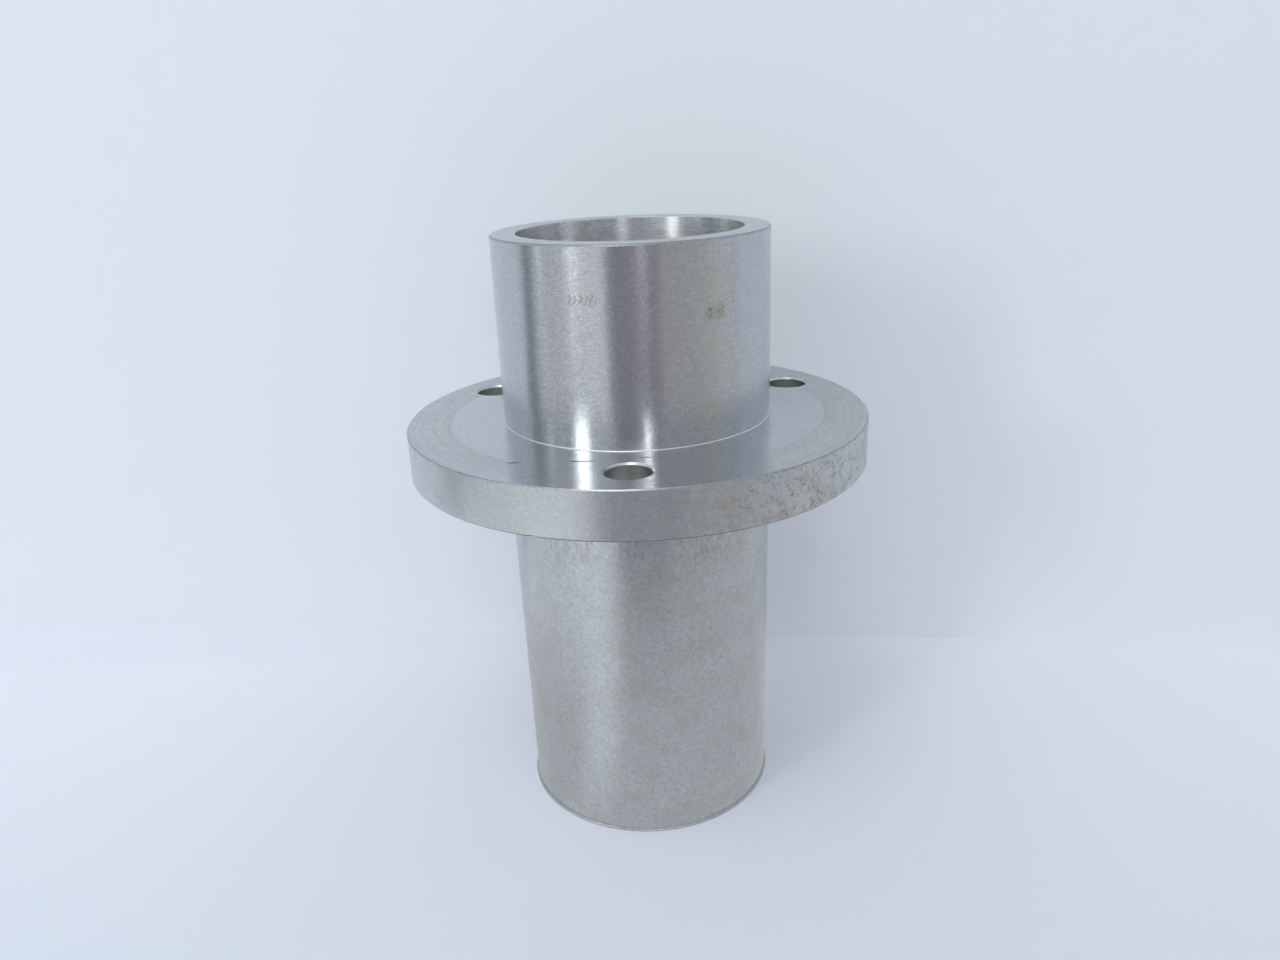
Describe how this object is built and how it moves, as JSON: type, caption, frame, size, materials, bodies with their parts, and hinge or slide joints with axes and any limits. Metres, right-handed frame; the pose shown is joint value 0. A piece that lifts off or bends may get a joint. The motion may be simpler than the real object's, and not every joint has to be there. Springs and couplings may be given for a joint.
{
  "type": "flanged sleeve coupling",
  "caption": "Straight steel sleeve with a plain through-bore and a round bolting flange nearer one end, bolted down through holes on a circle.",
  "frame": {"origin": "on the bore's axis, in the flange's underside, which seats on the machine", "axes": "+Z along the bore, through the flange, towards the short end of the tube; one bolt hole lies on -Y"},
  "size_m": [0.103, 0.103, 0.134],
  "materials": {
    "sleeve_steel": "turned",
    "flange_steel": "turned"
  },
  "bodies": {
    "root": {"sleeve_barrel": "sleeve_steel", "flange_ring": "flange_steel"}
  },
  "joints": []
}
